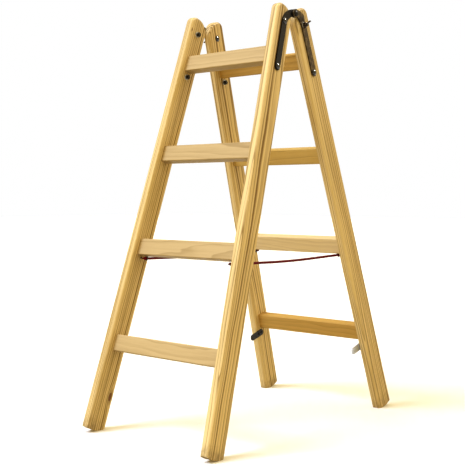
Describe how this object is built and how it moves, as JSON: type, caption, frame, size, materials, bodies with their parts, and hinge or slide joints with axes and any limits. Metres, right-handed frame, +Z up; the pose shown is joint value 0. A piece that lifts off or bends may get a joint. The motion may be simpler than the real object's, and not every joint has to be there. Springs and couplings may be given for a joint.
{
  "type": "wooden step ladder",
  "caption": "Double-sided wooden step ladder: two tapering frames of rungs hinged at the top by steel straps and held open by cords.",
  "frame": {"origin": "on the floor, midway between the four feet of the open ladder", "axes": "+Z up, X across the ladder along the rungs, -Y towards the front frame, +Y towards the rear frame that carries the hooks and wing nuts"},
  "size_m": [0.4742, 0.8504, 1.1869],
  "materials": {
    "stile_wood": "satin",
    "rung_wood": "satin",
    "black_steel": "satin",
    "grey_steel": "satin",
    "red_cord": "matte"
  },
  "bodies": {
    "front_frame": {"cord_left": "red_cord", "cord_right": "red_cord", "front_cord_eyes": "black_steel", "front_cord_knots": "red_cord", "front_left_stile": "stile_wood", "front_left_strap": "black_steel", "front_right_stile": "stile_wood", "front_right_strap": "black_steel", "front_rung_1": "rung_wood", "front_rung_2": "rung_wood", "front_rung_3": "rung_wood", "front_rung_4": "rung_wood", "front_strap_bolts": "black_steel", "front_strap_nuts": "grey_steel", "front_strap_washers": "grey_steel", "pivot_rivet_left": "black_steel", "pivot_rivet_right": "black_steel", "pivot_washer_left": "black_steel", "pivot_washer_right": "black_steel"},
    "rear_frame": {"hook_left": "grey_steel", "hook_right": "grey_steel", "hook_screws": "grey_steel", "rear_cord_eyes": "black_steel", "rear_cord_knots": "red_cord", "rear_left_stile": "stile_wood", "rear_left_strap": "black_steel", "rear_right_stile": "stile_wood", "rear_right_strap": "black_steel", "rear_rung_1": "rung_wood", "rear_rung_2": "rung_wood", "rear_rung_3": "rung_wood", "rear_rung_4": "rung_wood", "rear_strap_bolts": "black_steel", "rear_strap_nuts": "grey_steel", "rear_strap_washers": "grey_steel", "wing_bolts": "black_steel", "wing_washers": "grey_steel"},
    "wing_nut_left": {"wing_nut_left": "grey_steel"},
    "wing_nut_right": {"wing_nut_right": "grey_steel"}
  },
  "joints": [
    {"name": "fold", "type": "hinge", "parent": "front_frame", "child": "rear_frame", "pos_m": [0, 0, 1.16352], "axis": [-1, 0, 0], "range_deg": [0, 34.4], "deforming": ["cord_left", "cord_right"]},
    {"name": "wing_nut_left_turn", "type": "hinge", "parent": "rear_frame", "child": "wing_nut_left", "pos_m": [-0.16244, 0.04409, 1.1364], "axis": [-0.9986, -0.0155, 0.05], "continuous": true},
    {"name": "wing_nut_right_turn", "type": "hinge", "parent": "rear_frame", "child": "wing_nut_right", "pos_m": [0.16244, 0.04409, 1.1364], "axis": [0.9986, -0.0155, 0.05], "continuous": true}
  ]
}
